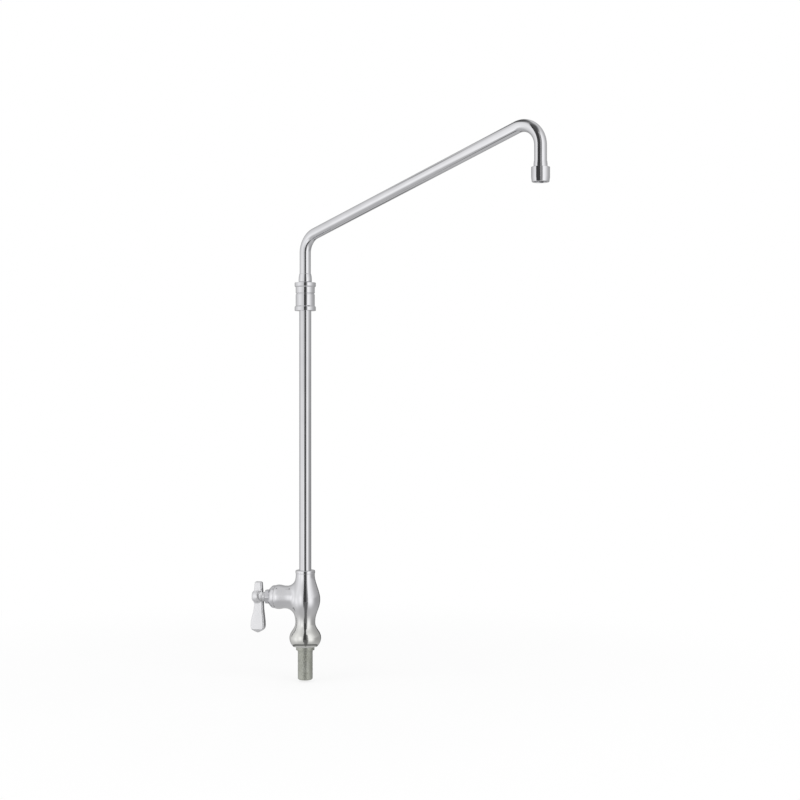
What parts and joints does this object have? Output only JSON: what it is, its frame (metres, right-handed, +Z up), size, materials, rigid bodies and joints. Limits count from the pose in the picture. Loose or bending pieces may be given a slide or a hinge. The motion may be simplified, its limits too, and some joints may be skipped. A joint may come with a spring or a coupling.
{
  "type": "single-hole swing-spout tap",
  "caption": "Deck-mounted tap: baluster body with a side lever valve, tall plain riser, swivel coupling and a long rising swing spout that ends in a stream regulator.",
  "frame": {"origin": "centre of the underside of the base, on the worktop and on the axis of the inlet shank", "axes": "+Z up along the riser; the side valve points along -X; the spout at rest is swung 30 degrees from +X towards -Y"},
  "size_m": [0.443, 0.2374, 0.7485],
  "materials": {
    "polished_chrome": "polished",
    "spout_chrome": "polished",
    "handle_chrome": "satin polished",
    "raw_shank": "dull as machined, thinly plated",
    "stainless": "as machined",
    "brass": "as machined",
    "seal_rubber": "matt",
    "gasket_fibre": "matt pressed fibre",
    "white_plastic": "low-friction plastic",
    "grey_plastic": "moulded",
    "ceramic_disc": null
  },
  "bodies": {
    "base": {"body": "polished_chrome", "inlet_shank": "raw_shank", "riser_tube": "polished_chrome", "swivel_body": "polished_chrome", "swivel_nut": "polished_chrome", "lower_thrust_washer": "white_plastic", "upper_thrust_washer": "white_plastic", "bonnet": "polished_chrome", "bonnet_gasket": "gasket_fibre", "packing_nut": "polished_chrome", "stem_packing": "white_plastic", "gland_follower": "brass", "cartridge_sleeve": "stainless", "fixed_disc": "ceramic_disc", "seat_seal": "seal_rubber"},
    "spout": {"spout_tube": "spout_chrome", "spout_foot": "brass", "swivel_o_rings": "seal_rubber", "spout_ferrule": "spout_chrome", "outlet_nipple": "spout_chrome", "regulator_housing": "spout_chrome", "regulator_washer": "seal_rubber", "flow_insert": "grey_plastic"},
    "valve_handle": {"spindle": "brass", "spindle_o_rings": "seal_rubber", "moving_disc": "ceramic_disc", "handle": "handle_chrome", "handle_screw": "stainless", "handle_cap": "handle_chrome"}
  },
  "joints": [
    {"name": "spout_swing", "type": "hinge", "parent": "base", "child": "spout", "pos_m": [0, 0, 0.5], "axis": [0, 0, 1], "continuous": true},
    {"name": "handle_turn", "type": "hinge", "parent": "base", "child": "valve_handle", "pos_m": [-0.06, 0, 0.069], "axis": [-1, 0, 0], "range_deg": [0, 90]}
  ]
}
